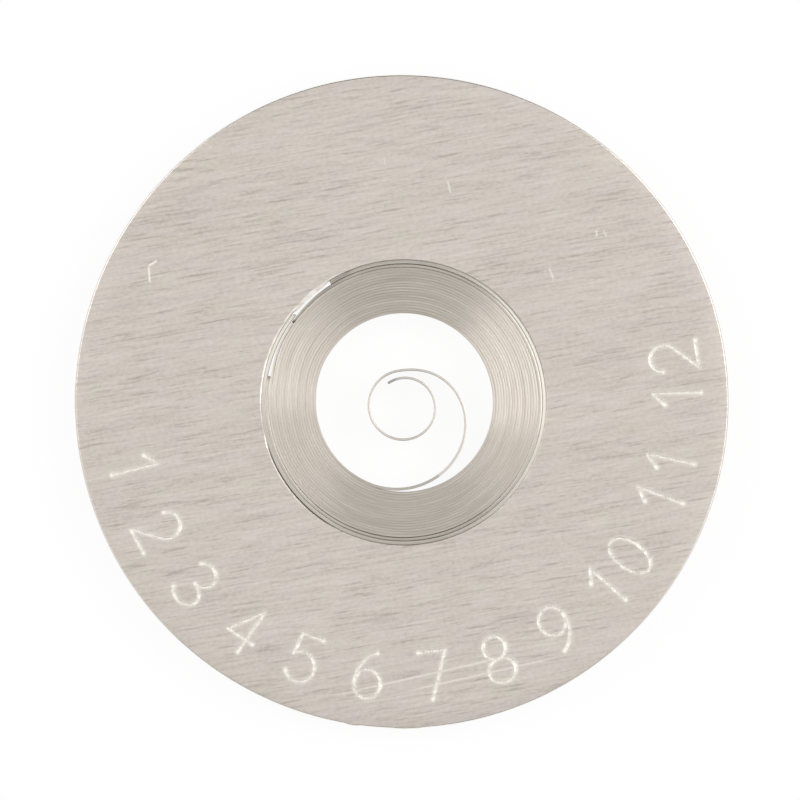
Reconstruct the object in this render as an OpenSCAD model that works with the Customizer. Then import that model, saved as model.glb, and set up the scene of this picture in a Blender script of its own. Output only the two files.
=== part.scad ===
// Watch mainspring, wound flat in the metal ring that it is sold in.
// Millimetres. The ring lies on the XY plane with its rim centred on the origin, +Z up.
// Seen from above, every strip winds outward clockwise, from the eye in the middle to the ring.

/* [Retaining ring] */
// Diameter of the ring's rim
ring_d = 22; // [20:0.1:26]
// Thickness of the ring
ring_t = 1.3; // [1.2:0.05:2]
// Diameter of the hole that holds the wound spring
hole_d = 9.57; // [9.4:0.01:10.4]
// How far the punched hole sits to the right of the rim's centre
hole_shift_x = 0.07; // [-0.2:0.01:0.2]
// How far the punched hole sits behind the rim's centre
hole_shift_y = -0.03; // [-0.2:0.01:0.2]
// Width of the broken edge at the rim
rim_break = 0.06; // [0.02:0.01:0.2]
// Width of the rolled edge at the hole
hole_break = 0.08; // [0.02:0.01:0.2]

/* [Strips] */
// Width of all three strips, which stand on edge in the ring
strip_w = 1.2; // [0.8:0.05:1.8]
// Thickness of the slip band
band_t = 0.1; // [0.08:0.005:0.14]
// Thickness of the bridle strip
bridle_t = 0.1; // [0.08:0.005:0.14]
// Thickness of the blade
blade_t = 0.085; // [0.07:0.005:0.09]

/* [Fits] */
// Clearance between the hole and the slip band
wall_clearance = 0.012; // [0.01:0.001:0.03]
// Clearance between the slip band and the bridle strip
band_clearance = 0.015; // [0.01:0.001:0.03]
// Clearance between the bridle strip and the end of the wound pack
pack_clearance = 0.016; // [0.01:0.001:0.03]
// Clearance between one turn of the blade and the next
turn_clearance = 0.004; // [0.002:0.001:0.008]
// Angle left between the blade's outer end and the bridle strip that it is welded to
weld_gap = 0.3; // [0.2:0.1:1]

/* [Lengths round the axis] */
// Turns of the blade in the wound pack
pack_turns = 17.2; // [14.2:1:18.2]
// Share of each turn's growth that it makes in one short jog at the left; the rest is even
jog_share = 0.5; // [0:0.05:0.6]
// Direction of the innermost turn's jog
jog_direction = 168; // [160:1:170]
// Angle over which a turn makes its jog
jog_angle = 30; // [24:1:60]
// How much further clockwise each turn makes its jog than the turn inside it
jog_drift = 0.5; // [0:0.1:1]
// Angle over which the blade climbs from the pack to the bridle strip
lift_angle = 28.2; // [20:0.2:40]
// Angle that the bridle strip covers
bridle_angle = 335.5; // [300:0.5:345]
// Angle that the slip band covers
band_angle = 340.7; // [300:0.1:350]
// Angle from the bridle strip's inner end to the slip band's inner end
band_lead = 22.8; // [0:0.1:60]

/* [Eye] */
// Diameter of the arbor that the eye grips
eye_d = 2.24; // [1.6:0.02:2.6]
// Direction of the blade's inner tip, counter-clockwise from the right
tip_angle = 125; // [0:1:359]
// How far the tip is curled in from the eye's round
tip_curl = 0.27; // [0.1:0.01:0.35]
// Angle over which the curl runs out into the eye's round
curl_angle = 212; // [150:1:300]
// Angle from the tip at which the blade leaves the eye
lead_start = 386; // [370:1:420]
// Angle from the tip at which the blade joins the pack
lead_end = 600; // [570:1:660]
// How far the free eye sits to the right of the pack's centre
eye_shift_x = -0.02; // [-0.2:0.01:0.2]
// How far the free eye sits behind the pack's centre
eye_shift_y = -0.102; // [-0.2:0.002:0.2]
// How far the pack's centre sits behind the hole's centre
pack_shift_y = 0.012; // [0:0.002:0.03]
// Distance from the tip to the middle of the hook hole, along the blade
hook_hole_from_tip = 0.8; // [0.6:0.05:1.2]
// Length of the hook hole along the blade
hook_hole_l = 0.4; // [0.3:0.05:0.5]
// Height of the hook hole
hook_hole_h = 0.65; // [0.5:0.05:0.7]

/* [Hidden] */
$fn = 180;
full_turn = 360;
// Points of the blade's outline in one turn, at the same directions in every turn
points_per_turn = 60;
facet = full_turn / round(points_per_turn);
// Angle to each side over which the blade's own direction is taken
direction_step = 0.5;
// How far a cutter runs past the face that it cuts
past = 0.5;

hole_centre = [hole_shift_x, hole_shift_y];
hole_r = hole_d / 2;
strip_z = (ring_t - strip_w) / 2;

// From the hole inwards: slip band, bridle strip, pack
band_out_r = hole_r - wall_clearance;
bridle_out_r = band_out_r - band_t - band_clearance;
bridle_mid_r = bridle_out_r - bridle_t / 2;
pack_out_r = bridle_out_r - bridle_t - pack_clearance - blade_t / 2;
pitch = blade_t + turn_clearance;
pack_centre = hole_centre + [0, pack_shift_y];

// The blade's middle line turns clockwise from the tip, so angles u run on and on from 0
eye_shift = [eye_shift_x, eye_shift_y];
eye_mid_r = eye_d / 2 + blade_t / 2;
pack_end = lead_end + full_turn * pack_turns;
blade_end = pack_end + lift_angle;
bridle_start = tip_angle - blade_end - weld_gap;
band_start = bridle_start - band_lead;
first_jog = lead_end + (tip_angle - lead_end - jog_direction + 2 * full_turn) % full_turn;
hook_hole_u = hook_hole_from_tip / (eye_mid_r - tip_curl) * 180 / PI;

// A change from 0 to 1 that starts and ends level
function ease(x) = let (c = max(0, min(1, x))) c * c * (3 - 2 * c);

function towards(angle) = [cos(angle), sin(angle)];

function lead(u) = ease((u - lead_start) / (lead_end - lead_start));

// Jogs that the blade has made from the start of the pack
function jogs(u) =
    let (
        apart = full_turn + jog_drift,
        nearest = round((u - first_jog) / apart)
    )
    nearest + ease((u - first_jog - nearest * apart) / jog_angle + 1 / 2);

// Turns by which the pack has grown, partly evenly and partly in the jogs
function grown(u) =
    u < lead_end ? 0 : (1 - jog_share) * (u - lead_end) / full_turn + jog_share * jogs(u);

pack_in_r = pack_out_r - pitch * grown(pack_end);

// Radius of the blade's middle line: curled tip, round eye, lead out, then the pack
function coil_r(u) =
    let (
        eye = eye_mid_r - tip_curl * (1 - ease(u / curl_angle)),
        pack = pack_in_r + pitch * grown(u)
    )
    eye + (pack - eye) * lead(u);

function coil_point(u) =
    pack_centre + eye_shift * (1 - lead(u)) + coil_r(u) * towards(tip_angle - u);

// The last stretch climbs out of the pack to meet the bridle strip end to end
function blade_point(u) =
    let (
        lift = ease((u - pack_end) / lift_angle),
        on_bridle = hole_centre + bridle_mid_r * towards(tip_angle - u)
    )
    coil_point(u) * (1 - lift) + on_bridle * lift;

// A point to one side of the middle line, square to it
function beside(u, side) =
    let (step = blade_point(u + direction_step) - blade_point(u - direction_step))
    blade_point(u) + side * [-step.y, step.x] / norm(step);

function steps(from, to, size) =
    let (count = ceil((to - from) / size)) [for (i = [0:count - 1]) from + (to - from) * i / count];

blade_steps = concat(
    steps(0, lead_end, facet),
    steps(lead_end, pack_end, facet),
    steps(pack_end, blade_end, facet),
    [blade_end]
);

// Free space between each point and the next turn outside it
turn_gaps = [
    for (u = blade_steps)
        if (u + full_turn <= blade_end) norm(blade_point(u + full_turn) - blade_point(u)) - blade_t
];
blade_chords = [
    for (i = [1:len(blade_steps) - 1])
        norm(blade_point(blade_steps[i]) - blade_point(blade_steps[i - 1]))
];
function sum(list, i = 0, total = 0) = i == len(list) ? total : sum(list, i + 1, total + list[i]);

echo(least_gap_between_turns = min(turn_gaps));
echo(blade_length = sum(blade_chords), blade_turns = blade_end / full_turn);
echo(pack_in_r = pack_in_r, band_out_r = band_out_r);

// A strip on edge that follows a true arc counter-clockwise from an angle
module arc_strip(out_r, thickness, from, sweep) {
    translate([hole_centre.x, hole_centre.y, strip_z])
        rotate([0, 0, from])
            rotate_extrude(angle = sweep)
                translate([out_r - thickness, 0])
                    square([thickness, strip_w]);
}

// Flat washer with broken edges and a plain hole, slightly off centre
module retaining_ring() {
    rim_r = ring_d / 2;
    color([0.80, 0.78, 0.75])
        difference() {
            rotate_extrude()
                polygon([
                    [0, 0],
                    [rim_r - rim_break, 0],
                    [rim_r, rim_break],
                    [rim_r, ring_t - rim_break],
                    [rim_r - rim_break, ring_t],
                    [0, ring_t]
                ]);
            translate([hole_centre.x, hole_centre.y, 0])
                rotate_extrude()
                    polygon([
                        [0, -past],
                        [hole_r + hole_break + past, -past],
                        [hole_r, hole_break],
                        [hole_r, ring_t - hole_break],
                        [hole_r + hole_break + past, ring_t + past],
                        [0, ring_t + past]
                    ]);
        }
}

// Open hoop against the wall of the hole
module slip_band() {
    color([0.78, 0.76, 0.72])
        arc_strip(band_out_r, band_t, band_start - band_angle, band_angle);
}

// Stiffer strip inside the slip band; the blade's outer end is welded to its inner end
module bridle_strip() {
    color([0.66, 0.63, 0.58])
        arc_strip(bridle_out_r, bridle_t, bridle_start - bridle_angle, bridle_angle);
}

// Rounded slot through the blade, for the arbor's hook
module hook_hole() {
    hole_point = blade_point(hook_hole_u);
    reach = 3 * blade_t;
    end_r = hook_hole_l / 2;
    half_run = hook_hole_h / 2 - end_r;
    translate([hole_point.x, hole_point.y, strip_z + strip_w / 2])
        rotate([0, 0, tip_angle - hook_hole_u])
            rotate([0, 90, 0]) {
                for (side = [-1, 1])
                    translate([side * half_run, 0, -reach / 2])
                        cylinder(r = end_r, h = reach);
                translate([-half_run, -end_r, -reach / 2])
                    cube([2 * half_run, hook_hole_l, reach]);
            }
}

// One unbroken strip: eye, lead out, pack and the climb to the bridle strip
module mainspring_blade() {
    color([0.74, 0.71, 0.66])
        difference() {
            translate([0, 0, strip_z])
                linear_extrude(strip_w)
                    polygon(concat(
                        [for (u = blade_steps) beside(u, blade_t / 2)],
                        [for (i = [len(blade_steps) - 1:-1:0]) beside(blade_steps[i], -blade_t / 2)]
                    ));
            hook_hole();
        }
}

retaining_ring();
slip_band();
bridle_strip();
mainspring_blade();
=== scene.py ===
# Flat spiral watch mainspring, wound in the round metal ring that it is sold in.
# Sizes are in millimetres until a mesh is made, in the CAD model's own frame.
import math

import bpy
import numpy as np
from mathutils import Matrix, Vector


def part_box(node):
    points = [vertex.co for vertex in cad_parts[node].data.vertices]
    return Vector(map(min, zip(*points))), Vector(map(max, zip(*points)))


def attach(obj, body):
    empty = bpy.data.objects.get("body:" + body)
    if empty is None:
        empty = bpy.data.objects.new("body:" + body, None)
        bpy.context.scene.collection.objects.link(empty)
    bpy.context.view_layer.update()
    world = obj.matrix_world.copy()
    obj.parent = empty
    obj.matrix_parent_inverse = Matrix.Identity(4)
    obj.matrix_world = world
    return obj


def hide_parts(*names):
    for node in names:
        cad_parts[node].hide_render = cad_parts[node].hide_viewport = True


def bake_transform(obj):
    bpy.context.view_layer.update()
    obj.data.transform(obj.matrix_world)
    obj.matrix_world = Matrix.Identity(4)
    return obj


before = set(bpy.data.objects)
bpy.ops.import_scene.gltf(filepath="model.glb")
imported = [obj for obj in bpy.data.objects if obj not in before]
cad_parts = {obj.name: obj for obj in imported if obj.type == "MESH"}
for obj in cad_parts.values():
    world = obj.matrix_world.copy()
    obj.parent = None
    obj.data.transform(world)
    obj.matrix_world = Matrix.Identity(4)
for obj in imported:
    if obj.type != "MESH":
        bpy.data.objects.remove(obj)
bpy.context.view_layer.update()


# Retaining ring: aluminium sheet, rolled, punched out and stamped with plain numbers.
# The punch rolled the edge of the hole over and left low burrs at three places on the rim.
# The wound spring presses outward against the wall of its hole.
MM = 0.001
ring_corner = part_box("retaining_ring")[1]
RING_HEIGHT = round(ring_corner[2] / MM, 4)
# The rim and the face are drawn a little inside the solid, which leaves room for burrs and raised lips
BURR_ROOM = 0.03
LIP_ROOM = 0.012
RIM_R = round(ring_corner[0] / MM, 4) - BURR_ROOM
FACE_Z = RING_HEIGHT - LIP_ROOM
HOLE_R = 4.785
HOLE_CENTRE = np.array([0.07, -0.03])
RIM_BREAK = 0.06
HOLE_BREAK = 0.03

STAMP_R = 9.25
STAMP_HEIGHT = 1.6
STAMP_START = 194.0
FIGURE_STEP = 7.8
NUMBER_GAP = 6.0
STROKE_HALF_WIDTH = 0.06
STROKE_DEPTH = 0.012
LIP_HEIGHT = 0.005
LIP_HALF_WIDTH = 0.02
LIP_FROM_STROKE = 0.018
# The stamped part of the face, between two radii and two directions, has points closer together
STAMP_BAND = (8.3, 10.2)
STAMP_ARC = (188.0, 376.0)
STAMP_ROW_STEP = 0.02
STAMP_ANGLE_STEP = 0.125
PLAIN_ANGLE_STEP = 0.75


def towards(degrees):
    """Unit vector, or a row of them, at an angle counter-clockwise from the right."""
    angle = np.radians(degrees)
    return np.stack([np.cos(angle), np.sin(angle)], axis=-1)


def ease(x):
    """A change from 0 to 1 that starts and ends level."""
    x = np.clip(x, 0.0, 1.0)
    return x * x * (3 - 2 * x)


def near_direction(angles, direction, half_width, power):
    """1 near a direction and 0 away from it, with sides that are steeper for a higher even power."""
    offset = (angles - direction + 180) % 360 - 180
    return np.exp(-((offset / half_width) ** power))


ARC_POINTS = 15


def arc(cx, cy, rx, ry, start, end):
    """Points along an arc of an ellipse, in the box of one figure."""
    turn = towards(np.linspace(start, end, ARC_POINTS))
    return np.array([cx, cy]) + turn * np.array([rx, ry])


# Each figure is drawn in a box 0.62 wide and 1 high, as the lines that its punch strikes
FIGURE_WIDTH = 0.62
FIGURES = {
    "0": [arc(0.31, 0.50, 0.28, 0.50, 0, 360)],
    "1": [np.array([[0.10, 0.76], [0.34, 1.0], [0.34, 0.0]])],
    "2": [np.vstack([arc(0.31, 0.70, 0.28, 0.30, 165, -40), [[0.03, 0.0], [0.60, 0.0]]])],
    "3": [arc(0.29, 0.75, 0.26, 0.25, 150, -90), arc(0.29, 0.25, 0.30, 0.25, 90, -150)],
    "4": [np.array([[0.46, 0.0], [0.46, 1.0], [0.02, 0.30], [0.62, 0.30]])],
    "5": [np.vstack([[[0.56, 1.0], [0.10, 1.0], [0.07, 0.55]], arc(0.29, 0.32, 0.31, 0.32, 125, -150)])],
    "6": [arc(0.31, 0.31, 0.28, 0.31, 0, 360), arc(0.63, 0.33, 0.60, 0.67, 178, 108)],
    "7": [np.array([[0.03, 1.0], [0.60, 1.0], [0.22, 0.0]])],
    "8": [arc(0.31, 0.76, 0.24, 0.24, 0, 360), arc(0.31, 0.26, 0.29, 0.26, 0, 360)],
    "9": [arc(0.31, 0.69, 0.28, 0.31, 0, 360), arc(-0.01, 0.67, 0.60, 0.67, -2, -72)],
}


def struck_lines():
    """Ends of every short line of the numbers 1 to 12, which read with their heads to the hole.

    The third list has the ends of whole strokes, where a punch strikes deepest.
    """
    starts = []
    ends = []
    tips = []
    angle = STAMP_START
    for number in range(1, 13):
        for figure in str(number):
            out = towards(angle)
            right = np.array([-out[1], out[0]])
            for line in FIGURES[figure]:
                across = (line[:, :1] - FIGURE_WIDTH / 2) * STAMP_HEIGHT
                up = (line[:, 1:] - 0.5) * STAMP_HEIGHT
                points = out * STAMP_R + across * right - up * out
                starts.append(points[:-1])
                ends.append(points[1:])
                tips.append(points[[0, -1]])
            angle += FIGURE_STEP
        angle += NUMBER_GAP
    return np.vstack(starts), np.vstack(ends), np.vstack(tips)


# A stroke marks nothing beyond its reach, where every point counts as far away
STROKE_REACH = 0.3
FAR_AWAY = 9.0


def distance_to_lines(points, starts, ends):
    """Distance from each point to the nearest of the lines, as far as a stroke reaches."""
    nearest = np.full(len(points), FAR_AWAY)
    for a, b in zip(starts, ends):
        run = b - a
        reach = np.linalg.norm(run) / 2 + STROKE_REACH
        close = np.flatnonzero(np.abs(points - (a + b) / 2).max(axis=1) < reach)
        share = np.clip((points[close] - a) @ run / (run @ run), 0, 1)
        gap = np.linalg.norm(points[close] - a - share[:, None] * run, axis=1)
        nearest[close] = np.minimum(nearest[close], gap)
    return nearest


# Edges that turn by more than this many degrees are shaded sharp
SHARP_ANGLE = 40


def metal_piece(name, stations, closed, left_out=(), added=()):
    """A mesh swept through stations x section points; an open one gets flat ends.

    The quads in left_out are (station, section point); the faces in added hold such pairs.
    """
    count, around, _ = stations.shape
    index = np.arange(count * around).reshape(count, around)
    after = np.roll(index, -1, axis=0) if closed else index[1:]
    here = index if closed else index[:-1]
    quads = np.stack(
        [here, after, np.roll(after, -1, axis=1), np.roll(here, -1, axis=1)], axis=-1
    )
    kept = np.ones(quads.shape[:2], bool)
    for station, point in left_out:
        kept[station, point] = False
    faces = quads[kept].tolist()
    faces += [[int(index[pair]) for pair in face] for face in added]
    if not closed:
        faces.append(index[0].tolist())
        faces.append(index[-1][::-1].tolist())
    mesh = bpy.data.meshes.new(name)
    mesh.from_pydata((stations.reshape(-1, 3) * MM).tolist(), [], faces)
    mesh.polygons.foreach_set("use_smooth", np.ones(len(faces), bool))
    mesh.set_sharp_from_angle(angle=math.radians(SHARP_ANGLE))
    piece = bpy.data.objects.new(name, mesh)
    bpy.context.scene.collection.objects.link(piece)
    return piece


def paint(piece, name, values):
    """Keeps one number for each vertex, which the piece's material reads."""
    attribute = piece.data.attributes.new(name, "FLOAT", "POINT")
    attribute.data.foreach_set("value", np.asarray(values, np.float32).ravel())


def paint_place(piece, name, places):
    """Keeps a place in millimetres for each vertex, which the patterns of the piece's material follow."""
    attribute = piece.data.attributes.new(name, "FLOAT_VECTOR", "POINT")
    attribute.data.foreach_set("vector", places.ravel())


coarse = np.arange(STAMP_ARC[1] - 360, STAMP_ARC[0], PLAIN_ANGLE_STEP)
fine = np.arange(STAMP_ARC[0], STAMP_ARC[1], STAMP_ANGLE_STEP)
ring_angles = np.concatenate([coarse, fine])

# Burrs at the rim: direction, half width in degrees, height
BURRS = [(261.3, 1.2, 0.03), (271.2, 2.4, 0.022), (179.4, 2.2, 0.012)]
rim_r = np.full(len(ring_angles), RIM_R)
for direction, half_width, height in BURRS:
    rim_r += height * near_direction(ring_angles, direction, half_width, 4)

# The punch rolled the hole's edge over most at the upper left, round the slip band's opening, and drew it
# in a little between the band's ends. At the lower left it tore a dark groove along the wall. The edge is
# sharpest where it was drawn in and at the upper right.
ROLLED_WIDTH = 0.03
DRAWN_IN_BY = 0.07
GROOVE_WIDTH = 0.04
GROOVE_DEPTH = 0.13
GROOVE_IN_WALL = 0.004
rolled_edge = near_direction(ring_angles, 147.5, 33, 8) + 0.9 * near_direction(ring_angles, 196, 2.2, 4)
least_rolled = near_direction(ring_angles, 57, 17, 2)
drawn_in = near_direction(ring_angles, 131.5, 8.5, 8)
wall_groove = near_direction(ring_angles, 219, 21, 8)
unevenness = 0.15 * np.sin(np.radians(ring_angles * 31)) + 0.12 * np.sin(np.radians(ring_angles * 73))
hole_roll = HOLE_BREAK + ROLLED_WIDTH * rolled_edge * (1 + unevenness) + GROOVE_WIDTH * wall_groove
hole_r = HOLE_R - DRAWN_IN_BY * drawn_in + GROOVE_IN_WALL * wall_groove
edge_drop = HOLE_BREAK * (1 - 0.65 * drawn_in - 0.5 * least_rolled) + GROOVE_DEPTH * wall_groove
rows = []


def add_row(centre, radius, height):
    """One closed line round the ring, about the rim's centre at centre 0 and about the hole's at 1."""
    radii = np.broadcast_to(radius, ring_angles.shape)
    heights = np.broadcast_to(height, ring_angles.shape)
    rows.append(np.column_stack([HOLE_CENTRE * centre + towards(ring_angles) * radii[:, None], heights]))


# Points of a rounded edge: how far each is from the wall and from the face, as shares of the rounding
EDGE_POINTS = 5
quarter = np.radians(np.linspace(0, 90, EDGE_POINTS))
rounding = list(zip(1 - np.sin(quarter), 1 - np.cos(quarter)))
for from_wall, from_face in rounding:
    add_row(0, rim_r - RIM_BREAK * from_wall, RIM_BREAK * from_face)
for from_wall, from_face in rounding[::-1]:
    add_row(0, rim_r - RIM_BREAK * from_wall, FACE_Z - RIM_BREAK * from_face)

stamp_radii = np.arange(STAMP_BAND[1], STAMP_BAND[0], -STAMP_ROW_STEP)
stamp_points = stamp_radii[:, None, None] * towards(ring_angles)[None, :, :]
line_starts, line_ends, stroke_tips = struck_lines()
line_gap = distance_to_lines(stamp_points.reshape(-1, 2), line_starts, line_ends)
line_gap = line_gap.reshape(len(stamp_radii), -1)
# A stroke's end counts as a very short line
tip_gap = distance_to_lines(stamp_points.reshape(-1, 2), stroke_tips, stroke_tips + 0.001)
tip_gap = tip_gap.reshape(len(stamp_radii), -1)

# The strokes are struck unevenly, and the punch chattered: along a stroke its floor rises and falls about
# every 0.15 mm
x, y = np.moveaxis(stamp_points, -1, 0)
wander = np.sin(x * 9.1 + 2 * np.sin(y * 6.7)) * np.sin(y * 11.3)
beads = np.sin(x * 41 + 3 * np.sin(y * 23)) * np.sin(y * 37 + 2 * np.sin(x * 19))
groove = (1 - np.clip(line_gap / STROKE_HALF_WIDTH, 0, 1) ** 2) ** 2
lip = np.exp(-(((line_gap - STROKE_HALF_WIDTH - LIP_FROM_STROKE) / LIP_HALF_WIDTH) ** 2))
relief = LIP_HEIGHT * lip * (0.6 + 0.4 * wander)
relief -= STROKE_DEPTH * groove * (0.75 + 0.25 * wander + 0.3 * beads)

# The punch left the metal bright along the floor of each stroke and at its ends. Beside each stroke, over
# its raised lip, a faint painted highlight is added. Each shine fades out over about its own width.
FLOOR_SHINE_WIDTH = 0.05
END_SHINE_WIDTH = 0.07
LIP_HIGHLIGHT_WIDTH = 0.11
struck_and_lip_highlight = (0.45 + 0.25 * wander + 0.5 * beads) * np.exp(-((line_gap / FLOOR_SHINE_WIDTH) ** 2))
struck_and_lip_highlight += 0.5 * np.exp(-((tip_gap / END_SHINE_WIDTH) ** 2))
# Painted highlight, faint, on the raised lips beside each stroke
struck_and_lip_highlight += 0.2 * np.exp(-((line_gap / LIP_HIGHLIGHT_WIDTH) ** 2))
first_stamp_row = len(rows)
for radius, height in zip(stamp_radii, relief):
    add_row(0, radius, FACE_Z + height)

FACE_TO_ROLL = 0.02
add_row(1, HOLE_R + hole_roll + FACE_TO_ROLL, FACE_Z)
first_hole_row = len(rows)
for from_wall, from_face in rounding:
    add_row(1, hole_r + (HOLE_R + hole_roll - hole_r) * from_wall, FACE_Z - edge_drop * from_face)
for from_wall, from_face in rounding[::-1]:
    add_row(1, HOLE_R + HOLE_BREAK * from_wall, HOLE_BREAK * from_face)

ring = metal_piece("ring_of_rolled_sheet", np.stack(rows, axis=1), closed=True)
ring_struck_and_lip_highlight = np.zeros((len(ring_angles), len(rows)))
ring_struck_and_lip_highlight[:, first_stamp_row:first_stamp_row + len(stamp_radii)] = struck_and_lip_highlight.T
paint(ring, "struck_and_lip_highlight", np.clip(ring_struck_and_lip_highlight, 0, 1))

# The spring burnished the hole's wall. The hole's rolled edge carries a painted highlight, strongest at the
# upper left where it is rolled widest, and the rim's upper edge a painted highlight, strongest behind and in
# front.
WALL_BURNISHED = 0.8
RIM_HIGHLIGHT = 0.75
first_wall_row = first_hole_row + len(rounding) - 1
ring_burnish_and_highlight = np.zeros((len(ring_angles), len(rows)))
# Painted highlight on the rolled edge of the hole, following how widely it is rolled
ring_burnish_and_highlight[:, first_hole_row:first_wall_row] = (rolled_edge * (0.5 + unevenness))[:, None]
ring_burnish_and_highlight[:, first_wall_row:] = WALL_BURNISHED
# Painted highlight on the rim's upper edge, strongest behind and in front
rim_edge_highlight = RIM_HIGHLIGHT * np.abs(np.sin(np.radians(ring_angles)))
ring_burnish_and_highlight[:, len(rounding) + 1:2 * len(rounding) - 1] = rim_edge_highlight[:, None]
paint(ring, "burnish_and_highlight", ring_burnish_and_highlight)

# The rim's wall keeps how far round it each point is and its height
ring_rim = np.zeros((len(ring_angles), len(rows)))
ring_rim[:, len(rounding) - 2:len(rounding) + 1] = 1.0
paint(ring, "rim", ring_rim)
rim_place = np.zeros((len(ring_angles), len(rows), 3), np.float32)
rim_place[..., 0] = (np.radians(ring_angles) * RIM_R)[:, None]
rim_place[..., 1] = [row[0, 2] for row in rows]
paint_place(ring, "rim_place", rim_place)


def colour(code):
    """The linear colour of an sRGB hex code."""
    channels = [int(code[i:i + 2], 16) / 255 for i in (1, 3, 5)]
    linear = [c / 12.92 if c <= 0.04045 else ((c + 0.055) / 1.055) ** 2.4 for c in channels]
    return (*linear, 1.0)


def node(tree, kind, inputs, **settings):
    """A shader node with its settings; an input is a plain value or another node's output."""
    made = tree.nodes.new("ShaderNode" + kind)
    for setting, value in settings.items():
        setattr(made, setting, value)
    for socket, value in inputs.items():
        if isinstance(value, bpy.types.NodeSocket):
            tree.links.new(value, made.inputs[socket])
        else:
            made.inputs[socket].default_value = value
    return made


def new_material(name):
    """An empty material, its node tree and its surface output."""
    material = bpy.data.materials.new(name)
    material.use_nodes = True
    material.node_tree.nodes.clear()
    return material, material.node_tree, node(material.node_tree, "OutputMaterial", {})


# Rolled aluminium sheet, as it left the mill: a warm light grey. The rolling, which rises 10 degrees to
# the right, left short dark streaks 0.1 mm wide and 1.2 mm long, and handling left some bright nicks.
ROLLING_RISES = 10
rolled_sheet, tree, surface = new_material("rolled aluminium sheet")
place = node(tree, "TexCoord", {})
in_mm = node(tree, "Mapping", {"Vector": place.outputs["Object"], "Scale": (1000, 1000, 1000)})
along_rolling = node(
    tree,
    "Mapping",
    {"Vector": in_mm.outputs[0], "Rotation": (0, 0, math.radians(-ROLLING_RISES))},
)


def streaks(tree, source, length, width, detail, seed):
    """Soft streaks of about that length and width in millimetres, from 0 to 1."""
    stretched = node(
        tree,
        "Mapping",
        {
            "Vector": source,
            "Location": (seed, seed * 1.7, seed * 0.3),
            "Scale": (1 / length, 1 / width, 1 / width),
        },
    )
    return node(
        tree, "TexNoise", {"Vector": stretched.outputs[0], "Scale": 1.0, "Detail": detail, "Roughness": 0.6}
    ).outputs[0]


def nick(tree, source, x, y, direction, length, width):
    """1 along a straight nick that starts at x, y in millimetres, and 0 elsewhere."""
    turned = node(
        tree,
        "Mapping",
        {"Vector": source, "Location": (x, y, 0), "Rotation": (0, 0, math.radians(direction))},
        vector_type="TEXTURE",
    )
    parts = node(tree, "SeparateXYZ", {"Vector": turned.outputs[0]})
    off_line = node(tree, "Math", {0: parts.outputs["Y"]}, operation="ABSOLUTE")
    from_middle = node(tree, "Math", {0: parts.outputs["X"], 1: length / 2}, operation="SUBTRACT")
    past_middle = node(tree, "Math", {0: from_middle.outputs[0]}, operation="ABSOLUTE")
    beside = node(
        tree,
        "MapRange",
        {"Value": off_line.outputs[0], "From Min": 0.0, "From Max": width, "To Min": 1.0, "To Max": 0.0},
    )
    within = node(
        tree,
        "MapRange",
        {
            "Value": past_middle.outputs[0],
            "From Min": length * 0.35,
            "From Max": length / 2,
            "To Min": 1.0,
            "To Max": 0.0,
        },
    )
    one = node(tree, "Math", {0: beside.outputs[0], 1: within.outputs[0]}, operation="MULTIPLY")
    on_top = node(tree, "Math", {0: parts.outputs["Z"], 1: RING_HEIGHT / 2}, operation="GREATER_THAN")
    return node(tree, "Math", {0: one.outputs[0], 1: on_top.outputs[0]}, operation="MULTIPLY")


rolled = along_rolling.outputs[0]
fine_streaks = streaks(tree, rolled, length=1.3, width=0.1, detail=2.0, seed=3.0)
dark_streaks = streaks(tree, rolled, length=1.1, width=0.07, detail=1.0, seed=23.0)
broad_streaks = streaks(tree, rolled, length=5.0, width=0.5, detail=2.0, seed=17.0)
speckle = streaks(tree, rolled, length=0.16, width=0.11, detail=1.0, seed=41.0)
dark_part = node(tree, "MapRange", {"Value": dark_streaks, "From Min": 0.56, "From Max": 0.76})
tone = node(tree, "Math", {0: fine_streaks, 1: 0.34, 2: 0.09}, operation="MULTIPLY_ADD")
for pattern, share in ((broad_streaks, 0.2), (speckle, 0.27), (dark_part.outputs[0], -0.17)):
    tone = node(tree, "Math", {0: pattern, 1: share, 2: tone.outputs[0]}, operation="MULTIPLY_ADD")
sheet_colour = node(tree, "ValToRGB", {"Fac": tone.outputs[0]})
ramp = sheet_colour.color_ramp
ramp.elements[0].position = 0.15
ramp.elements[0].color = colour("#9E978F")
ramp.elements[1].position = 0.68
ramp.elements[1].color = colour("#D9D3CC")
middle_stop = ramp.elements.new(0.46)
middle_stop.color = colour("#C9C2BB")

# In patches the sheet is a trace warmer or cooler
hue = streaks(tree, rolled, length=2.2, width=0.7, detail=1.0, seed=57.0)
cool_part = node(tree, "MapRange", {"Value": hue, "From Min": 0.35, "From Max": 0.65})
sheet_hue = node(
    tree,
    "Mix",
    {"Factor": cool_part.outputs[0], "A": colour("#FFFEFA"), "B": colour("#FFFCFE")},
    data_type="RGBA",
)
tinted_sheet = node(
    tree,
    "Mix",
    {"Factor": 1.0, "A": sheet_colour.outputs["Color"], "B": sheet_hue.outputs["Result"]},
    data_type="RGBA",
    blend_type="MULTIPLY",
)

# Nicks from handling: start x, start y, direction, length and width, then how bright each one is
NICKS = [
    (1.54, 7.41, -77, 0.45, 0.05, 0.5),
    (4.94, 4.51, -69, 0.47, 0.05, 0.5),
    (6.53, 5.76, -83, 0.24, 0.06, 0.5),
    (6.76, 5.76, -63, 0.25, 0.05, 0.4),
    (-8.19, 4.75, 213, 0.40, 0.06, 0.8),
    (-8.50, 4.58, -86, 0.62, 0.05, 0.9),
    (-2.40, -9.90, 12.7, 6.56, 0.06, 0.4),
    (0.13, -9.74, 12.7, 5.35, 0.05, 0.35),
    (-0.6, 8.2, -80, 0.30, 0.05, 0.25),
]
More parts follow.
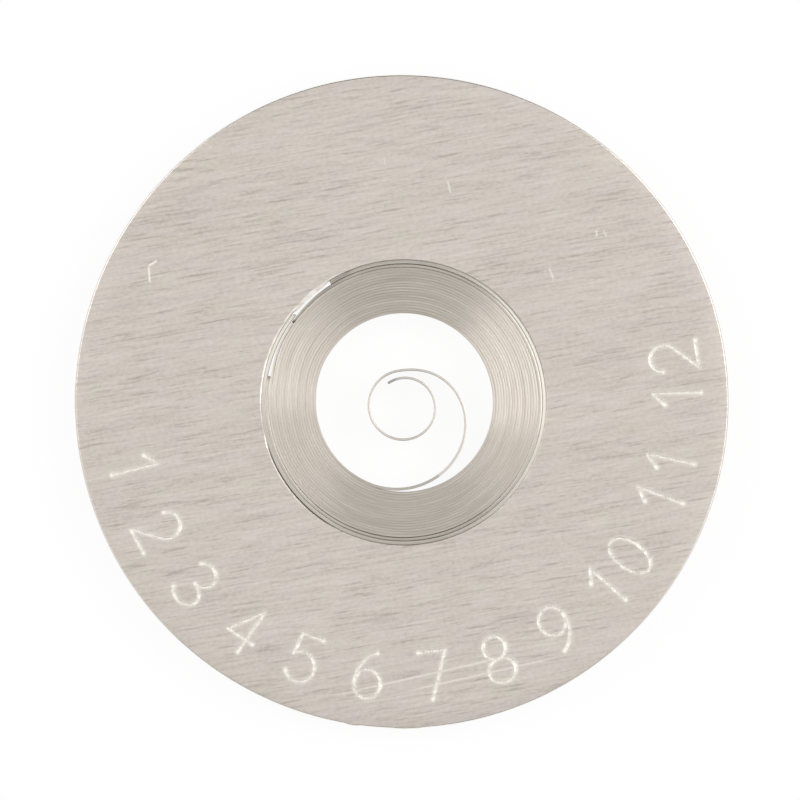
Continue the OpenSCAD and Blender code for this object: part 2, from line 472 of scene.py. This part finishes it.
# Bright metal where the punch struck and the spring burnished, at the nicks, and the painted highlights on
# the rolled edge, the rim's upper edge and the strokes' lips
struck_and_lip_highlight_value = node(tree, "Attribute", {}, attribute_name="struck_and_lip_highlight")
burnish_and_highlight_value = node(tree, "Attribute", {}, attribute_name="burnish_and_highlight")
bright_wear_and_highlight = node(tree, "Math", {0: struck_and_lip_highlight_value.outputs["Fac"], 1: burnish_and_highlight_value.outputs["Fac"]}, operation="MAXIMUM")
for *where, brightness in NICKS:
    one = nick(tree, in_mm.outputs[0], *where)
    one = node(tree, "Math", {0: one.outputs[0], 1: brightness}, operation="MULTIPLY")
    bright_wear_and_highlight = node(tree, "Math", {0: bright_wear_and_highlight.outputs[0], 1: one.outputs[0]}, operation="MAXIMUM")
ring_colour = node(
    tree,
    "Mix",
    {"Factor": bright_wear_and_highlight.outputs[0], "A": tinted_sheet.outputs["Result"], "B": colour("#FFFAF0")},
    data_type="RGBA",
)
sheet_rough = node(
    tree,
    "MapRange",
    {"Value": fine_streaks, "From Min": 0.3, "From Max": 0.7, "To Min": 0.5, "To Max": 0.36},
)
ring_rough = node(
    tree, "Mix", {"Factor": bright_wear_and_highlight.outputs[0], "A": sheet_rough.outputs[0], "B": 0.18}, data_type="FLOAT"
)

# The rim's wall was sheared by the punch: smooth and bright over its upper third, torn and duller below,
# with fine lines 0.06 mm apart that run straight down it. Here a pattern's length lies round the rim.
round_rim = node(tree, "Attribute", {}, attribute_name="rim_place")
on_rim = node(tree, "Attribute", {}, attribute_name="rim")
down_lines = streaks(tree, round_rim.outputs["Vector"], length=0.06, width=2.5, detail=1.0, seed=7.0)
torn_edge = streaks(tree, round_rim.outputs["Vector"], length=0.5, width=0.3, detail=2.0, seed=29.0)
rim_parts = node(tree, "SeparateXYZ", {"Vector": round_rim.outputs["Vector"]})
torn_height = node(
    tree, "Math", {0: torn_edge, 1: 0.5, 2: rim_parts.outputs["Y"]}, operation="MULTIPLY_ADD"
)
torn = node(
    tree,
    "MapRange",
    {"Value": torn_height.outputs[0], "From Min": 1.0, "From Max": 1.14, "To Min": 1.0, "To Max": 0.0},
)
rim_tone = node(tree, "Math", {0: down_lines, 1: 0.75}, operation="MULTIPLY")
rim_tone = node(
    tree, "Math", {0: torn.outputs[0], 1: -0.16, 2: rim_tone.outputs[0]}, operation="MULTIPLY_ADD"
)
rim_colour = node(tree, "ValToRGB", {"Fac": rim_tone.outputs[0]})
rim_colour.color_ramp.elements[0].position = 0.1
rim_colour.color_ramp.elements[0].color = colour("#97908A")
rim_colour.color_ramp.elements[1].position = 0.5
rim_colour.color_ramp.elements[1].color = colour("#D2CBC4")
rim_rough = node(
    tree,
    "MapRange",
    {"Value": torn.outputs[0], "From Min": 0.0, "From Max": 1.0, "To Min": 0.24, "To Max": 0.5},
)
all_colour = node(
    tree,
    "Mix",
    {"Factor": on_rim.outputs["Fac"], "A": ring_colour.outputs["Result"], "B": rim_colour.outputs["Color"]},
    data_type="RGBA",
)
all_rough = node(
    tree,
    "Mix",
    {"Factor": on_rim.outputs["Fac"], "A": ring_rough.outputs["Result"], "B": rim_rough.outputs[0]},
    data_type="FLOAT",
)
all_tone = node(
    tree,
    "Mix",
    {"Factor": on_rim.outputs["Fac"], "A": tone.outputs[0], "B": rim_tone.outputs[0]},
    data_type="FLOAT",
)
# A relief of 3 microns, at less than full strength, for the streaks and the rim's lines
sheet_bump = node(
    tree, "Bump", {"Strength": 0.4, "Distance": 0.000003, "Height": all_tone.outputs["Result"]}
)
sheet_metal = node(
    tree,
    "BsdfPrincipled",
    {
        "Base Color": all_colour.outputs["Result"],
        "Metallic": 1.0,
        "Roughness": all_rough.outputs["Result"],
        "Normal": sheet_bump.outputs[0],
    },
)
tree.links.new(sheet_metal.outputs[0], surface.inputs["Surface"])
ring.data.materials.append(rolled_sheet)
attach(ring, "ring")
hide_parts("retaining_ring")


# Slip band: the outermost strip, an open hoop of cold-rolled spring alloy that lies against the wall.
# Shearing left its upper edge slanting down to the outer side. Both its ends are ground off at the back, and
# its ends and its left side are darkened with painted shade.
strip_low, strip_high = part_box("slip_band")
STRIP_LOW = round(strip_low[2] / MM, 4)
STRIP_HIGH = round(strip_high[2] / MM, 4)
STRIP_MIDDLE = (STRIP_LOW + STRIP_HIGH) / 2
# The strips are drawn a little thicker than the solids, so that the gaps between them are narrow lines
BAND_T = 0.116
WALL_GAP = 0.004
BAND_OUT_R = HOLE_R - WALL_GAP
BAND_START = 121.7
BAND_ANGLE = 340.7
# Half the height of the straight sides of the slot for the arbor's hook, which the blade has near its tip
HOOK_HALF_RUN = 0.125
CROWN_POINTS = 7


def strip_section(thickness, crown, corner, slant):
    """The strip's section: how far out from its middle each point is, and how high.

    It starts at the outer end of the crowned upper edge and goes over to the inner side, down it and up the
    outer side. Shearing left the upper edge lower by slant at the outer side. Each side has two points at
    the height where the hook's slot begins and ends.
    """
    half = thickness / 2
    cut = 0.3 * corner
    across = np.linspace(half - corner, corner - half, CROWN_POINTS)
    over = np.column_stack([across, STRIP_HIGH - crown * (across / half) ** 2])
    down = [
        (-half + cut, STRIP_HIGH - crown - cut),
        (-half, STRIP_HIGH - crown - corner),
        (-half, STRIP_MIDDLE + HOOK_HALF_RUN),
        (-half, STRIP_MIDDLE - HOOK_HALF_RUN),
        (-half, STRIP_LOW + corner),
        (corner - half, STRIP_LOW),
    ]
    up = [(-side, height) for side, height in down[::-1]]
    section = np.vstack([over, down, up])
    at_top = section[:, 1] > (STRIP_MIDDLE + STRIP_HIGH) / 2
    section[at_top, 1] -= slant * (1 + section[at_top, 0] / half) / 2
    return section


def swept_strip(name, middle, outward, section, lift, **openings):
    """A strip on edge along a line of points, with a unit vector outward and a small lift at each."""
    section = np.broadcast_to(section, (len(middle),) + section.shape[-2:])
    sideways = middle[:, None, :] + section[..., :1] * outward[:, None, :]
    heights = section[..., 1] + np.broadcast_to(lift, len(middle))[:, None]
    stations = np.concatenate([sideways, heights[..., None]], axis=-1)
    return metal_piece(name, stations, closed=False, **openings)


def grain_along(piece, lengths, section):
    """Keeps how far along the strip and how far round its section each vertex is."""
    around = np.concatenate([[0], np.cumsum(np.linalg.norm(np.diff(section, axis=0), axis=1))])
    along = np.zeros((len(lengths), len(section), 3), np.float32)
    along[..., 0] = lengths[:, None]
    along[..., 1] = around[None, :]
    paint_place(piece, "rolling", along)


# A hoop's points lie half a degree apart near its inner end, and about a degree apart after that
CLOSE_ANGLE = 40
CLOSE_STEP = 0.5


def hoop(name, out_r, thickness, start, sweep, crown, corner, slant, moved_in, ground_off):
    """An open hoop that runs clockwise from its inner end; it returns each vertex's angle from there too.

    moved_in and ground_off take that angle: how far the hoop lies further in, and how much is off its back,
    which is its outer side.
    """
    close_steps = np.arange(0, CLOSE_ANGLE, CLOSE_STEP)
    wide_steps = np.linspace(CLOSE_ANGLE, sweep, int(sweep) - CLOSE_ANGLE + 1)
    turned = np.concatenate([close_steps, wide_steps])
    outward = towards(start - turned)
    off_back = ground_off(turned)
    thin = thickness - off_back
    middle_r = out_r - moved_in(turned) - off_back - thin / 2
    middle = HOLE_CENTRE + outward * middle_r[:, None]
    section = strip_section(thickness, crown, corner, slant)
    sections = np.repeat(section[None], len(turned), axis=0)
    sections[..., 0] *= (thin / thickness)[:, None]
    piece = swept_strip(name, middle, outward, sections, 0.0)
    grain_along(piece, np.radians(turned) * out_r, section)
    return piece, np.repeat(turned, len(section))


def band_moved_in(turned):
    """The slip band lies evenly against the wall."""
    return np.zeros(len(turned))


def band_ground_off(turned):
    """The back is ground off by 0.016 mm at the inner end, and by 0.07 mm over the last 1.4 degrees."""
    inner_end = 0.016 * (1 - ease((turned - 5) / 7))
    outer_tip = 0.07 * ease((turned - BAND_ANGLE + 1.4) / 1.4)
    return inner_end + outer_tip


band, from_end = hoop(
    "slip_band_strip",
    BAND_OUT_R,
    BAND_T,
    BAND_START,
    BAND_ANGLE,
    crown=0.003,
    corner=0.004,
    slant=0.016,
    moved_in=band_moved_in,
    ground_off=band_ground_off,
)
# Painted shade: the band is darker over both its ends and along its left side
shade_at_inner_end = 0.35 * (1 - ease((from_end - 5) / 8))
shade_at_outer_end = 0.5 * ease(from_end - BAND_ANGLE + 1.2)
shade_on_left = 0.26 * near_direction(BAND_START - from_end, 199, 31, 8)
paint(band, "heat_tint_and_shade", shade_at_inner_end + shade_at_outer_end + shade_on_left)


def spring_alloy(name, base, heat_and_shade_colour, roughness, drawn_out):
    """Cold-rolled spring alloy. Rolling leaves bright hairlines along it; heat at an end turns it brown. The
    same darker colour also paints shade, on the slip band's ends and left side.

    drawn_out, from 0 to 1, is how far those hairlines spread a highlight across the strip.
    """
    material, tree, surface = new_material(name)
    along = node(tree, "Attribute", {}, attribute_name="rolling")
    hairlines = streaks(tree, along.outputs["Vector"], length=1.5, width=0.02, detail=2.0, seed=5.0)
    patches = streaks(tree, along.outputs["Vector"], length=2.5, width=0.8, detail=2.0, seed=11.0)
    tone = node(tree, "Math", {0: hairlines, 1: 0.5}, operation="MULTIPLY")
    tone = node(tree, "Math", {0: patches, 1: 0.5, 2: tone.outputs[0]}, operation="MULTIPLY_ADD")
    metal_colour = node(tree, "ValToRGB", {"Fac": tone.outputs[0]})
    metal_colour.color_ramp.elements[0].position = 0.35
    metal_colour.color_ramp.elements[0].color = colour(base[0])
    metal_colour.color_ramp.elements[1].position = 0.65
    metal_colour.color_ramp.elements[1].color = colour(base[1])
    heat_tint_and_shade = node(tree, "Attribute", {}, attribute_name="heat_tint_and_shade")
    tint = node(
        tree,
        "Mix",
        {"Factor": heat_tint_and_shade.outputs["Fac"], "A": metal_colour.outputs["Color"], "B": colour(heat_and_shade_colour)},
        data_type="RGBA",
    )
    rough = node(
        tree,
        "MapRange",
        {
            "Value": hairlines,
            "From Min": 0.3,
            "From Max": 0.7,
            "To Min": roughness + 0.05,
            "To Max": roughness - 0.05,
        },
    )
    # A relief of one micron, at less than full strength
    bump = node(tree, "Bump", {"Strength": 0.3, "Distance": 0.000001, "Height": hairlines})
    round_the_axis = node(tree, "Tangent", {}, direction_type="RADIAL", axis="Z")
    metal = node(
        tree,
        "BsdfPrincipled",
        {
            "Base Color": tint.outputs["Result"],
            "Metallic": 1.0,
            "Roughness": rough.outputs[0],
            "Anisotropic": drawn_out,
            "Anisotropic Rotation": 0.25,
            "Tangent": round_the_axis.outputs[0],
            "Normal": bump.outputs[0],
        },
    )
    tree.links.new(metal.outputs[0], surface.inputs["Surface"])
    return material


# Bright cold-rolled strip with sheared, lightly broken edges: the palest of the three strips
# Its darker colour paints shade on the band's ends and left side
bright_alloy = spring_alloy(
    "bright cold-rolled alloy", base=("#CCC6BC", "#DCD6CD"), heat_and_shade_colour="#6E655C", roughness=0.38, drawn_out=0.86
)
band.data.materials.append(bright_alloy)
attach(band, "slip_band")
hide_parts("slip_band")


# Bridle strip: the next hoop in, of the same alloy with rounder edges, free to slip round in the band.
# The blade's outer end is butt-welded to its inner end, where the heat has browned both. That end is
# ground thinner at the back.
BRIDLE_T = 0.112
BAND_GAP = 0.015
BRIDLE_OUT_R = BAND_OUT_R - BAND_T - BAND_GAP
BRIDLE_START = 144.5
BRIDLE_ANGLE = 335.5


def bridle_moved_in(turned):
    """The bridle lies 0.012 mm to the left in the band, and is a little wider from behind to the front."""
    direction = np.radians(BRIDLE_START - turned)
    return 0.012 * np.cos(direction) - 0.003 * np.sin(direction) ** 2


def bridle_ground_off(turned):
    """The bridle's back is ground off towards its inner end."""
    return 0.03 * (1 - ease(turned / 26))


bridle, from_end = hoop(
    "bridle_strip_bent",
    BRIDLE_OUT_R,
    BRIDLE_T,
    BRIDLE_START,
    BRIDLE_ANGLE,
    crown=0.008,
    corner=0.005,
    slant=0.006,
    moved_in=bridle_moved_in,
    ground_off=bridle_ground_off,
)
brown_at_weld = 0.6 * (1 - ease((from_end - 0.6) / 1.8))
brown_past_weld = 0.25 * (1 - ease((from_end - 20) / 14))
brown_outer_end = 0.7 * ease((from_end - BRIDLE_ANGLE + 1.6) / 1.2)
paint(bridle, "heat_tint_and_shade", brown_at_weld + brown_past_weld + brown_outer_end)

# Darker cold-rolled strip with round edges: bright where it faces the lamps at left and right
dull_alloy = spring_alloy(
    "dull cold-rolled alloy", base=("#B8B0A6", "#CEC6BB"), heat_and_shade_colour="#2E2823", roughness=0.29, drawn_out=0.9
)
bridle.data.materials.append(dull_alloy)
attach(bridle, "bridle")
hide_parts("bridle_strip")


# Mainspring blade: one strip of cold-rolled spring alloy, 0.085 mm thick, in 18.9 turns.
# It has a curled tip with a slot for the arbor's hook, a free eye, a lead out, a tight pack and a climb to
# the bridle strip. The real blade bends between the pack and the eye when the arbor winds it; here it is
# drawn at rest.
# The pack is drawn a little thicker than the strip is, so that the gaps between its turns close
BLADE_T = 0.0887
PITCH = 0.0889
FREE_THINNER = 0.012
# The tip's direction, then angles turned clockwise along the blade from the tip
TIP_ANGLE = 125.0
CURL_ANGLE = 212.0
LEAD_START = 386.0
LEAD_END = 600.0
PACK_END = 6792.0
BLADE_END = 6820.2
# Radii of the blade's middle line, how far the tip curls in from the eye, and the places of pack and eye
EYE_MID_R = 1.1625
TIP_CURL = 0.27
PACK_IN_R = 2.9773
BLADE_END_R = 4.595
PACK_CENTRE = HOLE_CENTRE + np.array([-0.012, 0.005])
EYE_SHIFT = np.array([-0.008, -0.095])
# The pack's jogs, by the same angles, and their share of its growth at its inside and its outside
FIRST_JOG = 677.0
JOG_APART = 360.5
JOG_ANGLE = 30.0
JOG_SHARE = (0.5, 1.0)
# The hook's slot, in millimetres along the blade
HOOK_FROM_TIP = 0.8
HOOK_HALF_L = 0.2
# The blade's stations, in steps of degrees or by number; its direction is taken over a step each way
FREE_STEP = 3.0
PACK_STATIONS = 2090
HOOK_STATIONS = 13
HOOK_CLEAR = 0.5
DIRECTION_STEP = 0.5


def turns_grown(u):
    """Pitches by which the pack has grown at u, partly evenly and partly in one short jog on each turn.

    Half of the growth is in the jogs at the pack's inside. At its outside, where the turns press against
    the bridle strip's round, all of it is.
    """
    nearest = np.round((u - FIRST_JOG) / JOG_APART)
    jogs = nearest + ease((u - FIRST_JOG - nearest * JOG_APART) / JOG_ANGLE + 0.5)
    jog_share = np.interp(u, (LEAD_END, PACK_END), JOG_SHARE)
    return np.where(u < LEAD_END, 0.0, (1 - jog_share) * (u - LEAD_END) / 360 + jog_share * jogs)


def blade_point(u):
    """The blade's middle line at angles u from its tip, clockwise."""
    lead = ease((u - LEAD_START) / (LEAD_END - LEAD_START))
    eye = EYE_MID_R - TIP_CURL * (1 - ease(u / CURL_ANGLE))
    pack = PACK_IN_R + PITCH * turns_grown(u)
    outward = towards(TIP_ANGLE - u)
    coil = PACK_CENTRE + (1 - lead)[:, None] * EYE_SHIFT + (eye + (pack - eye) * lead)[:, None] * outward
    on_bridle = HOLE_CENTRE + BLADE_END_R * outward
    lift = ease((u - PACK_END) / (BLADE_END - PACK_END))[:, None]
    return coil * (1 - lift) + on_bridle * lift


hook_u = math.degrees(HOOK_FROM_TIP / (EYE_MID_R - TIP_CURL))
hook_half_u = math.degrees(HOOK_HALF_L / (EYE_MID_R - TIP_CURL))
hook_steps = np.linspace(hook_u - hook_half_u, hook_u + hook_half_u, HOOK_STATIONS)
blade_steps = np.concatenate(
    [np.arange(0, LEAD_END, FREE_STEP), np.linspace(LEAD_END, BLADE_END, PACK_STATIONS)]
)
clear_of_hook = np.abs(blade_steps - hook_u) > hook_half_u + HOOK_CLEAR
blade_steps = np.sort(np.concatenate([blade_steps[clear_of_hook], hook_steps]))
blade_middle = blade_point(blade_steps)
blade_run = blade_point(blade_steps + DIRECTION_STEP) - blade_point(blade_steps - DIRECTION_STEP)
blade_outward = np.column_stack([-blade_run[:, 1], blade_run[:, 0]])
blade_outward /= np.linalg.norm(blade_outward, axis=1)[:, None]
free_share = 1 - ease((blade_steps - LEAD_START) / (LEAD_END - LEAD_START))

# The turns press together behind and in front, where their edges lie level and the blade is drawn as thick
# as the pitch allows. They stand a few microns apart at the right and the left, most of all at the lower
# left. The free part is drawn thinner, with round edges.
blade_direction = (TIP_ANGLE - blade_steps) % 360
apart = np.cos(np.radians(blade_direction)) ** 2
level_section = strip_section(BLADE_T, 0.001, 0.0015, 0.002)
pack_section = strip_section(BLADE_T, 0.002, 0.0015, 0.009)
free_section = strip_section(BLADE_T - FREE_THINNER, 0.008, 0.006, 0.0)
blade_sections = level_section + apart[:, None, None] * (pack_section - level_section)
blade_sections += free_share[:, None, None] * (free_section - blade_sections)
narrowed = 0.04 * apart + 0.035 * near_direction(blade_direction, 208, 24, 2)
blade_sections[..., 0] *= (1 - narrowed)[:, None]

# The slot for the arbor's hook: its two sides are left out, and four walls join the strip's faces round it.
# A section comes to the slot's upper edge first on the inner side, and to its lower edge first on the outer
# side. The next point is at the other edge.
INNER_SLOT_POINT = CROWN_POINTS + 2
OUTER_SLOT_POINT = CROWN_POINTS + 8
from_hook = (blade_steps - hook_u) / hook_half_u * HOOK_HALF_L
first_hook, last_hook = np.searchsorted(blade_steps, hook_steps[[0, -1]])
in_hook = slice(first_hook, last_hook + 1)
slot_half = HOOK_HALF_RUN + np.sqrt(np.clip(HOOK_HALF_L**2 - from_hook[in_hook] ** 2, 0, None))
blade_sections[in_hook, INNER_SLOT_POINT, 1] = STRIP_MIDDLE + slot_half
blade_sections[in_hook, INNER_SLOT_POINT + 1, 1] = STRIP_MIDDLE - slot_half
blade_sections[in_hook, OUTER_SLOT_POINT, 1] = STRIP_MIDDLE - slot_half
blade_sections[in_hook, OUTER_SLOT_POINT + 1, 1] = STRIP_MIDDLE + slot_half
slot_open = []
slot_walls = []
for station in range(first_hook, last_hook):
    after = station + 1
    for near, far in (
        (INNER_SLOT_POINT, OUTER_SLOT_POINT + 1),
        (OUTER_SLOT_POINT, INNER_SLOT_POINT + 1),
    ):
        slot_open.append((station, near))
        slot_walls.append([(station, near), (after, near), (after, far), (station, far)])
for station, order in ((first_hook, 1), (last_hook, -1)):
    end_wall = [
        (station, INNER_SLOT_POINT),
        (station, OUTER_SLOT_POINT + 1),
        (station, OUTER_SLOT_POINT),
        (station, INNER_SLOT_POINT + 1),
    ]
    slot_walls.append(end_wall[::order])

# Along the pack, but not at its two ends, the turns stand a few microns higher and lower
UNEVEN = 0.002
turns = np.radians(blade_steps)
in_pack = ease((blade_steps - LEAD_END) / 360) * ease((PACK_END - blade_steps) / 90)
waves = np.sin(0.37 * turns) + 0.7 * np.sin(0.71 * turns + 1) + 0.5 * np.sin(2.23 * turns)
blade = swept_strip(
    "mainspring_blade_strip",
    blade_middle,
    blade_outward,
    blade_sections,
    UNEVEN * in_pack * waves,
    left_out=slot_open,
    added=slot_walls,
)
blade_lengths = np.concatenate([[0], np.cumsum(np.linalg.norm(np.diff(blade_middle, axis=0), axis=1))])
grain_along(blade, blade_lengths, pack_section)
brown_tip = 0.4 * (1 - ease((blade_lengths - 0.2) / 0.25))
brown_at_weld = 0.15 * ease((blade_steps - BLADE_END + 1.5) / 1.5)
paint(blade, "heat_tint_and_shade", np.repeat(brown_tip + brown_at_weld, len(pack_section)))

# Grey spring alloy, drawn bright by rolling: a light line on each turn and a faint dark one between turns
grey_alloy = spring_alloy(
    "grey cold-rolled alloy", base=("#BDB5AB", "#D0C8BE"), heat_and_shade_colour="#2A2521", roughness=0.31, drawn_out=0.92
)
blade.data.materials.append(grey_alloy)
# The eye and the lead out were bent after rolling, which dulled them: an even light grey all round
bent_alloy = spring_alloy(
    "grey bent alloy", base=("#CBC4BC", "#D8D2CA"), heat_and_shade_colour="#4A443F", roughness=0.45, drawn_out=0.0
)
blade.data.materials.append(bent_alloy)
BENT_SHARE = 0.15
free_faces = [free_share[face.vertices[0] // len(pack_section)] > BENT_SHARE for face in blade.data.polygons]
blade.data.polygons.foreach_set("material_index", np.array(free_faces, np.int32))
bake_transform(blade)
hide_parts("mainspring_blade")


# Floor: plain white paper just under the ring, which keeps the ring's soft shadow. The camera and the
# reflections see it mostly as plain white.
FLOOR_R = 1500
FLOOR_Z = -0.02
PLAIN_WHITE_SHARE = 0.93
floor_directions = np.arange(0, 360, 5.0)
floor_edge = np.column_stack(
    [towards(floor_directions) * FLOOR_R, np.full(len(floor_directions), FLOOR_Z)]
)
floor_mesh = bpy.data.meshes.new("paper_floor")
floor_mesh.from_pydata((floor_edge * MM).tolist(), [], [list(range(len(floor_edge)))])
floor = bpy.data.objects.new("paper_floor", floor_mesh)
bpy.context.scene.collection.objects.link(floor)
paper, tree, surface = new_material("white paper")
rays = node(tree, "LightPath", {})
seen = node(
    tree,
    "Math",
    {0: rays.outputs["Is Camera Ray"], 1: rays.outputs["Is Glossy Ray"]},
    operation="MAXIMUM",
)
seen = node(tree, "Math", {0: seen.outputs[0], 1: rays.outputs["Is Transmission Ray"]}, operation="MAXIMUM")
share = node(tree, "Math", {0: seen.outputs[0], 1: PLAIN_WHITE_SHARE}, operation="MULTIPLY")
matt = node(tree, "BsdfDiffuse", {"Color": colour("#FDFDFC")})
white = node(tree, "Emission", {"Color": (1, 1, 1, 1), "Strength": 1.0})
mixed = node(tree, "MixShader", {0: share.outputs[0], 1: matt.outputs[0], 2: white.outputs[0]})
tree.links.new(mixed.outputs[0], surface.inputs["Surface"])
floor.data.materials.append(paper)


# Light: a white tent, a soft lamp at the right and a weaker one at the left, a dark grey card behind and
# a light grey card in front. The lamps' sizes are in metres.
world = bpy.data.worlds.new("white tent")
bpy.context.scene.world = world
world.use_nodes = True
world.node_tree.nodes["Background"].inputs["Color"].default_value = (1, 1, 1, 1)
world.node_tree.nodes["Background"].inputs["Strength"].default_value = 1.0


def soft_lamp(name, azimuth, elevation, distance, width, height, radiance):
    """A flat lamp that faces the ring from that direction."""
    lamp = bpy.data.lights.new(name, "AREA")
    lamp.shape = "RECTANGLE"
    lamp.size = width
    lamp.size_y = height
    lamp.energy = radiance * math.pi * width * height
    holder = bpy.data.objects.new(name, lamp)
    flat = distance * math.cos(math.radians(elevation))
    holder.location = (
        flat * math.cos(math.radians(azimuth)),
        flat * math.sin(math.radians(azimuth)),
        distance * math.sin(math.radians(elevation)),
    )
    holder.rotation_euler = (0, math.radians(90 - elevation), math.radians(azimuth))
    bpy.context.scene.collection.objects.link(holder)


soft_lamp("lamp_right", azimuth=20, elevation=45, distance=0.4, width=0.16, height=0.36, radiance=3.3)
soft_lamp("lamp_left", azimuth=155, elevation=45, distance=0.4, width=0.13, height=0.3, radiance=2.7)

# The cards stand on either side of the ring and lean towards it, by CARD_LEAN of their height
CARD_DISTANCE = 330
CARD_LEAN = 0.35
CARD_HEIGHT = 300
CARD_ABOVE_FLOOR = 60
for name, finish, side, left_end, right_end, grey in (
    ("card_behind", "dark grey card", 1, -330, 290, "#4C4C4C"),
    ("card_in_front", "light grey card", -1, -340, 330, "#949494"),
):
    card_material, tree, surface = new_material(finish)
    card_matt = node(tree, "BsdfDiffuse", {"Color": colour(grey)})
    tree.links.new(card_matt.outputs[0], surface.inputs["Surface"])
    corners = [
        (x * MM, side * (CARD_DISTANCE - CARD_LEAN * z) * MM, (z + CARD_ABOVE_FLOOR) * MM)
        for x, z in ((left_end, 0), (right_end, 0), (right_end, CARD_HEIGHT), (left_end, CARD_HEIGHT))
    ]
    card_mesh = bpy.data.meshes.new(name)
    card_mesh.from_pydata(corners, [], [[0, 1, 2, 3]])
    card = bpy.data.objects.new(name, card_mesh)
    bpy.context.scene.collection.objects.link(card)
    card.data.materials.append(card_material)
    card.visible_camera = False


# Camera: straight above, with a long lens, as the object was photographed. The photograph is 800 pixels
# wide, and the rim's centre lies a little to the right of its middle and below it.
PHOTO_WIDTH_PX = 800
RIM_RADIUS_PX = 326.77
RIM_RIGHT_PX = 1.78
RIM_BELOW_PX = 1.49
MM_PER_PX = RIM_R / RIM_RADIUS_PX
FRAME_WIDTH = PHOTO_WIDTH_PX * MM_PER_PX
LENS = 500
SENSOR = 36
camera_data = bpy.data.cameras.new("camera")
camera_data.lens = LENS
camera_data.sensor_width = SENSOR
camera_data.clip_start = 0.005
camera_data.clip_end = 10
camera = bpy.data.objects.new("camera", camera_data)
bpy.context.scene.collection.objects.link(camera)
camera.location = (
    -RIM_RIGHT_PX * MM_PER_PX * MM,
    RIM_BELOW_PX * MM_PER_PX * MM,
    (RING_HEIGHT + FRAME_WIDTH * LENS / SENSOR) * MM,
)
bpy.context.scene.camera = camera
bpy.context.scene.view_settings.view_transform = "Standard"
